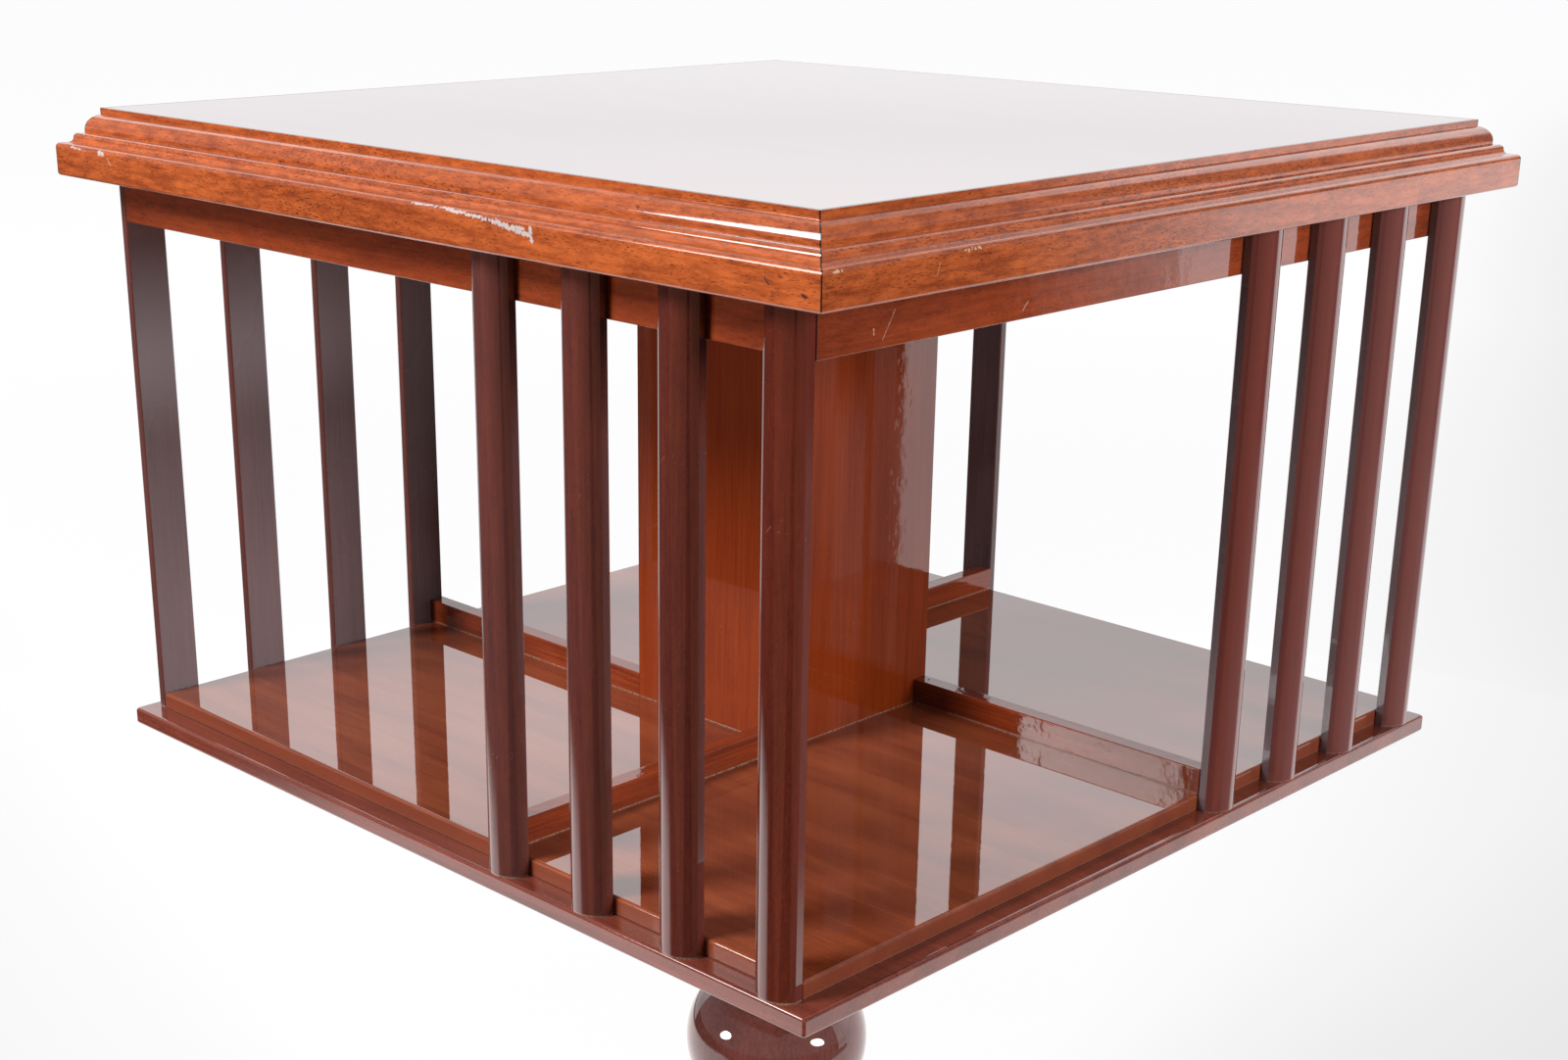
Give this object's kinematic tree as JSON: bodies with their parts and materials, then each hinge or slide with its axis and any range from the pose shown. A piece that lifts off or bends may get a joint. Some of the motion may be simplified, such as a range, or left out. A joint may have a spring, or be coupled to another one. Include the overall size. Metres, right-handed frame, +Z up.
{
  "type": "revolving book table",
  "caption": "Square revolving book table: a slatted case with pinwheel book compartments under a moulded top, spinning on a turned pedestal with down-swept legs and castors",
  "frame": {"origin": "on the floor under the pedestal's axis", "axes": "+Z up, the front side of the case faces -Y, +X is to the right seen from the front"},
  "size_m": [0.5, 0.5, 0.77],
  "materials": {
    "top_veneer": "French polished mahogany veneer, glossy",
    "edge_mahogany": "French polished mahogany, glossy, lightly worn",
    "case_mahogany": "French polished mahogany, glossy",
    "slat_mahogany": "dark stained mahogany, French polished, glossy",
    "turned_mahogany": "dark stained turned mahogany, French polished, glossy",
    "brass": "aged brass, satin",
    "steel": "plain steel, satin"
  },
  "bodies": {
    "pedestal": {"pedestal_stem": "turned_mahogany", "leg_front_right": "turned_mahogany", "leg_back_right": "turned_mahogany", "leg_back_left": "turned_mahogany", "leg_front_left": "turned_mahogany", "strap_plate": "steel", "strap_screws": "steel", "spindle": "steel", "thrust_washer": "brass", "toe_cups": "brass"},
    "bookcase": {"top_board": "top_veneer", "base_board": "edge_mahogany", "shelf_panel": "case_mahogany", "upper_pivot_block": "case_mahogany", "lower_pivot_block": "case_mahogany", "upper_bush": "brass", "pivot_plate": "brass", "pivot_plate_screws": "brass", "moulded_edge_front": "edge_mahogany", "frieze_rail_front": "case_mahogany", "column_board_front": "case_mahogany", "divider_rail_front": "case_mahogany", "slat_front_1": "slat_mahogany", "slat_front_2": "slat_mahogany", "slat_front_3": "slat_mahogany", "slat_front_4": "slat_mahogany", "moulded_edge_right": "edge_mahogany", "frieze_rail_right": "case_mahogany", "column_board_right": "case_mahogany", "divider_rail_right": "case_mahogany", "slat_right_1": "slat_mahogany", "slat_right_2": "slat_mahogany", "slat_right_3": "slat_mahogany", "slat_right_4": "slat_mahogany", "moulded_edge_back": "edge_mahogany", "frieze_rail_back": "case_mahogany", "column_board_back": "case_mahogany", "divider_rail_back": "case_mahogany", "slat_back_1": "slat_mahogany", "slat_back_2": "slat_mahogany", "slat_back_3": "slat_mahogany", "slat_back_4": "slat_mahogany", "moulded_edge_left": "edge_mahogany", "frieze_rail_left": "case_mahogany", "column_board_left": "case_mahogany", "divider_rail_left": "case_mahogany", "slat_left_1": "slat_mahogany", "slat_left_2": "slat_mahogany", "slat_left_3": "slat_mahogany", "slat_left_4": "slat_mahogany"},
    "castor_front_right": {"castor_horn_front_right": "brass"},
    "wheel_front_right": {"castor_wheel_front_right": "brass"},
    "castor_back_right": {"castor_horn_back_right": "brass"},
    "wheel_back_right": {"castor_wheel_back_right": "brass"},
    "castor_back_left": {"castor_horn_back_left": "brass"},
    "wheel_back_left": {"castor_wheel_back_left": "brass"},
    "castor_front_left": {"castor_horn_front_left": "brass"},
    "wheel_front_left": {"castor_wheel_front_left": "brass"}
  },
  "joints": [
    {"name": "case_spin", "type": "hinge", "parent": "pedestal", "child": "bookcase", "pos_m": [0, 0, 0.46], "axis": [0, 0, 1], "continuous": true},
    {"name": "castor_swivel_front_right", "type": "hinge", "parent": "pedestal", "child": "castor_front_right", "pos_m": [0.15768, -0.15768, 0.03], "axis": [0, 0, 1], "continuous": true},
    {"name": "wheel_roll_front_right", "type": "hinge", "parent": "castor_front_right", "child": "wheel_front_right", "pos_m": [0.16405, -0.16405, 0.0125], "axis": [0.7071, 0.7071, 0], "continuous": true},
    {"name": "castor_swivel_back_right", "type": "hinge", "parent": "pedestal", "child": "castor_back_right", "pos_m": [0.15768, 0.15768, 0.03], "axis": [0, 0, 1], "continuous": true},
    {"name": "wheel_roll_back_right", "type": "hinge", "parent": "castor_back_right", "child": "wheel_back_right", "pos_m": [0.16405, 0.16405, 0.0125], "axis": [-0.7071, 0.7071, 0], "continuous": true},
    {"name": "castor_swivel_back_left", "type": "hinge", "parent": "pedestal", "child": "castor_back_left", "pos_m": [-0.15768, 0.15768, 0.03], "axis": [0, 0, 1], "continuous": true},
    {"name": "wheel_roll_back_left", "type": "hinge", "parent": "castor_back_left", "child": "wheel_back_left", "pos_m": [-0.16405, 0.16405, 0.0125], "axis": [-0.7071, -0.7071, 0], "continuous": true},
    {"name": "castor_swivel_front_left", "type": "hinge", "parent": "pedestal", "child": "castor_front_left", "pos_m": [-0.15768, -0.15768, 0.03], "axis": [0, 0, 1], "continuous": true},
    {"name": "wheel_roll_front_left", "type": "hinge", "parent": "castor_front_left", "child": "wheel_front_left", "pos_m": [-0.16405, -0.16405, 0.0125], "axis": [0.7071, -0.7071, 0], "continuous": true}
  ]
}
